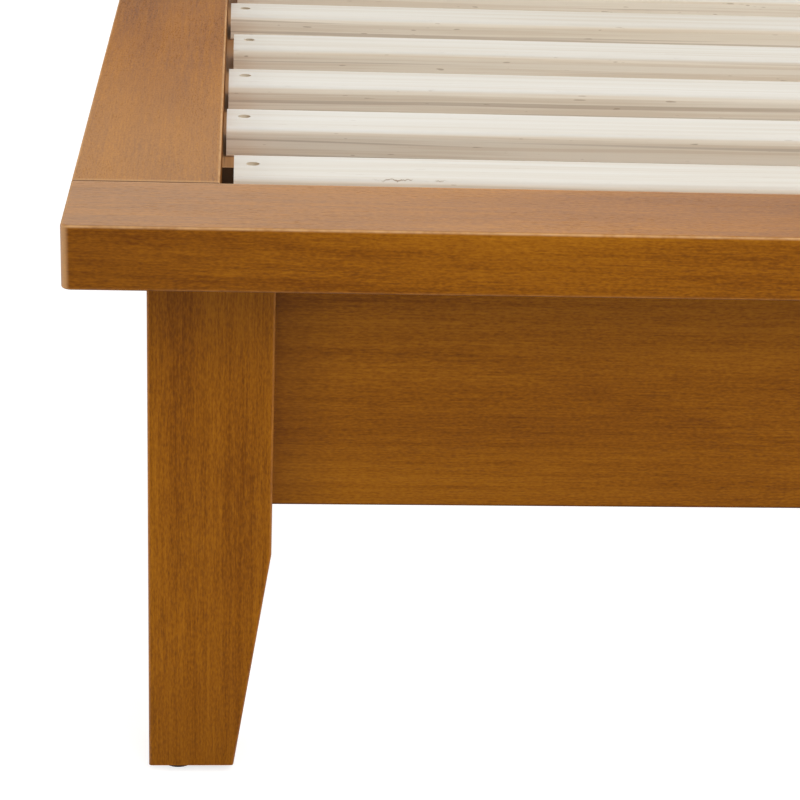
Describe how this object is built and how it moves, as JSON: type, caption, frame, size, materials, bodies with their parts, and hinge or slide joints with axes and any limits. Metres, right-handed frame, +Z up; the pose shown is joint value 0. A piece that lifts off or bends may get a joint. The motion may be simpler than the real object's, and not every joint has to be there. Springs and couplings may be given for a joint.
{
  "type": "bed frame",
  "caption": "Low slatted bed frame with a flat overhanging cap rail, recessed aprons, tapered square legs and a centre rail on its own legs.",
  "frame": {"origin": "on the floor, under the middle of the frame", "axes": "+X across the bed to the right seen from the foot, +Y from the foot to the head, +Z up"},
  "size_m": [1.722, 2.23, 0.381],
  "materials": {
    "stained_hardwood": "honey-brown stain under satin lacquer",
    "stained_support_wood": "honey-brown stain, matt",
    "raw_slat_wood": "planed, unfinished, pale",
    "dowel_beech": "plain beech",
    "zinc_steel": "zinc plated",
    "insert_brass": "plain",
    "hanger_steel": "black powder coat",
    "glide_plastic": "matt"
  },
  "bodies": {
    "root": {"foot_cap_rail": "stained_hardwood", "head_cap_rail": "stained_hardwood", "left_cap_rail": "stained_hardwood", "right_cap_rail": "stained_hardwood", "foot_apron": "stained_hardwood", "head_apron": "stained_hardwood", "left_apron": "stained_hardwood", "right_apron": "stained_hardwood", "foot_left_leg": "stained_hardwood", "foot_left_glide": "glide_plastic", "foot_left_corner_block": "stained_support_wood", "foot_right_leg": "stained_hardwood", "foot_right_glide": "glide_plastic", "foot_right_corner_block": "stained_support_wood", "head_left_leg": "stained_hardwood", "head_left_glide": "glide_plastic", "head_left_corner_block": "stained_support_wood", "head_right_leg": "stained_hardwood", "head_right_glide": "glide_plastic", "head_right_corner_block": "stained_support_wood", "left_slat_ledger": "stained_support_wood", "right_slat_ledger": "stained_support_wood", "centre_rail": "stained_support_wood", "centre_leg_1": "stained_support_wood", "centre_leg_2": "stained_support_wood", "centre_leg_3": "stained_support_wood", "centre_glides": "glide_plastic", "foot_rail_hanger": "hanger_steel", "head_rail_hanger": "hanger_steel", "slat_01": "raw_slat_wood", "slat_02": "raw_slat_wood", "slat_03": "raw_slat_wood", "slat_04": "raw_slat_wood", "slat_05": "raw_slat_wood", "slat_06": "raw_slat_wood", "slat_07": "raw_slat_wood", "slat_08": "raw_slat_wood", "slat_09": "raw_slat_wood", "slat_10": "raw_slat_wood", "slat_11": "raw_slat_wood", "slat_12": "raw_slat_wood", "slat_13": "raw_slat_wood", "slat_14": "raw_slat_wood", "slat_15": "raw_slat_wood", "slat_16": "raw_slat_wood", "slat_17": "raw_slat_wood", "rail_bolts": "zinc_steel", "rail_bolt_washers": "zinc_steel", "slat_screws": "zinc_steel", "ledger_screws": "zinc_steel", "block_screws": "zinc_steel", "hanger_screws": "zinc_steel", "centre_leg_bolts": "zinc_steel", "leg_inserts": "insert_brass", "apron_dowels": "dowel_beech", "cap_dowels": "dowel_beech", "cap_corner_dowels": "dowel_beech"}
  },
  "joints": []
}
